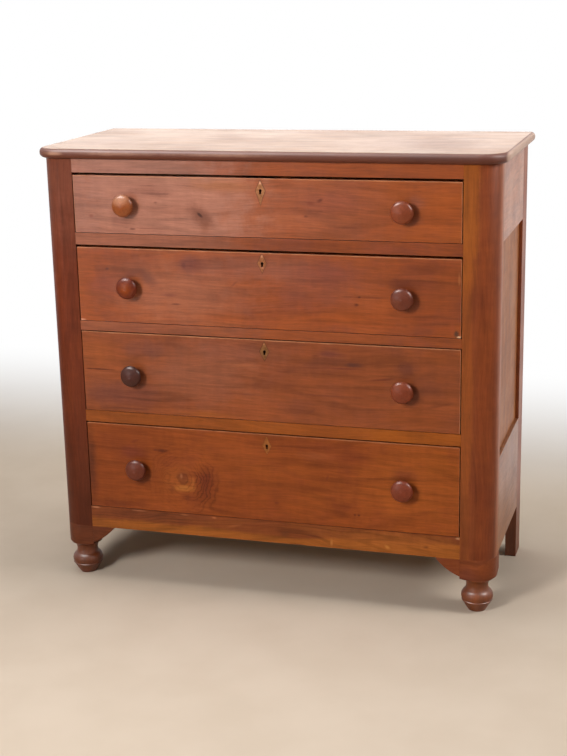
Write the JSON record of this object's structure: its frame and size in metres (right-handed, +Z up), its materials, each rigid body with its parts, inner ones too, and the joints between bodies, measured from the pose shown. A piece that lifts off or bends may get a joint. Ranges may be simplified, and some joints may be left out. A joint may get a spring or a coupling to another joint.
{
  "type": "bachelors chest",
  "caption": "Cherry bachelors chest of graduated drawers with wooden knobs, rounded front posts, panelled sides and turned front feet.",
  "frame": {"origin": "on the floor, under the middle of the whole chest, knobs included", "axes": "+X to the chest's right as seen from the front, +Y from the drawer fronts towards the back, +Z up"},
  "size_m": [1.06, 0.469, 1.022],
  "materials": {
    "cherry_top": "satin",
    "cherry_case": "satin",
    "cherry_drawer": "satin",
    "cherry_panel": "satin",
    "cherry_turned": "polished",
    "poplar": "raw",
    "old_brass": "tarnished",
    "lock_iron": "dark, lightly rusted"
  },
  "bodies": {
    "case": {"top_board": "cherry_top", "left_front_post": "cherry_case", "left_rear_stile": "cherry_case", "left_side_top_rail": "cherry_case", "left_side_bottom_rail": "cherry_case", "left_side_panel": "cherry_panel", "left_foot_block": "cherry_case", "left_turned_foot": "cherry_turned", "right_front_post": "cherry_case", "right_rear_stile": "cherry_case", "right_side_top_rail": "cherry_case", "right_side_bottom_rail": "cherry_case", "right_side_panel": "cherry_panel", "right_foot_block": "cherry_case", "right_turned_foot": "cherry_turned", "top_rail": "cherry_case", "upper_divider": "cherry_case", "middle_divider": "cherry_case", "lower_divider": "cherry_case", "bottom_rail": "cherry_case", "foot_brackets": "cherry_case", "runners_and_kickers": "poplar", "back_boards": "poplar", "back_nails": "lock_iron"},
    "top_drawer": {"top_drawer_front": "cherry_drawer", "top_drawer_left_side": "poplar", "top_drawer_right_side": "poplar", "top_drawer_back": "poplar", "top_drawer_bottom": "poplar", "top_drawer_knobs": "cherry_turned", "top_drawer_escutcheon": "old_brass", "top_drawer_lock": "lock_iron"},
    "top_drawer_bolt": {"top_drawer_lock_bolt": "lock_iron"},
    "second_drawer": {"second_drawer_front": "cherry_drawer", "second_drawer_left_side": "poplar", "second_drawer_right_side": "poplar", "second_drawer_back": "poplar", "second_drawer_bottom": "poplar", "second_drawer_knobs": "cherry_turned", "second_drawer_escutcheon": "old_brass", "second_drawer_lock": "lock_iron"},
    "second_drawer_bolt": {"second_drawer_lock_bolt": "lock_iron"},
    "third_drawer": {"third_drawer_front": "cherry_drawer", "third_drawer_left_side": "poplar", "third_drawer_right_side": "poplar", "third_drawer_back": "poplar", "third_drawer_bottom": "poplar", "third_drawer_knobs": "cherry_turned", "third_drawer_escutcheon": "old_brass", "third_drawer_lock": "lock_iron"},
    "third_drawer_bolt": {"third_drawer_lock_bolt": "lock_iron"},
    "bottom_drawer": {"bottom_drawer_front": "cherry_drawer", "bottom_drawer_left_side": "poplar", "bottom_drawer_right_side": "poplar", "bottom_drawer_back": "poplar", "bottom_drawer_bottom": "poplar", "bottom_drawer_knobs": "cherry_turned", "bottom_drawer_escutcheon": "old_brass", "bottom_drawer_lock": "lock_iron"},
    "bottom_drawer_bolt": {"bottom_drawer_lock_bolt": "lock_iron"}
  },
  "joints": [
    {"name": "top_drawer_slide", "type": "slide", "parent": "case", "child": "top_drawer", "axis": [0, -1, 0], "range_m": [0, 0.3]},
    {"name": "top_drawer_bolt_slide", "type": "slide", "parent": "top_drawer", "child": "top_drawer_bolt", "axis": [0, 0, 1], "range_m": [0, 0.009]},
    {"name": "second_drawer_slide", "type": "slide", "parent": "case", "child": "second_drawer", "axis": [0, -1, 0], "range_m": [0, 0.3]},
    {"name": "second_drawer_bolt_slide", "type": "slide", "parent": "second_drawer", "child": "second_drawer_bolt", "axis": [0, 0, 1], "range_m": [0, 0.009]},
    {"name": "third_drawer_slide", "type": "slide", "parent": "case", "child": "third_drawer", "axis": [0, -1, 0], "range_m": [0, 0.3]},
    {"name": "third_drawer_bolt_slide", "type": "slide", "parent": "third_drawer", "child": "third_drawer_bolt", "axis": [0, 0, 1], "range_m": [0, 0.009]},
    {"name": "bottom_drawer_slide", "type": "slide", "parent": "case", "child": "bottom_drawer", "axis": [0, -1, 0], "range_m": [0, 0.3]},
    {"name": "bottom_drawer_bolt_slide", "type": "slide", "parent": "bottom_drawer", "child": "bottom_drawer_bolt", "axis": [0, 0, 1], "range_m": [0, 0.009]}
  ]
}
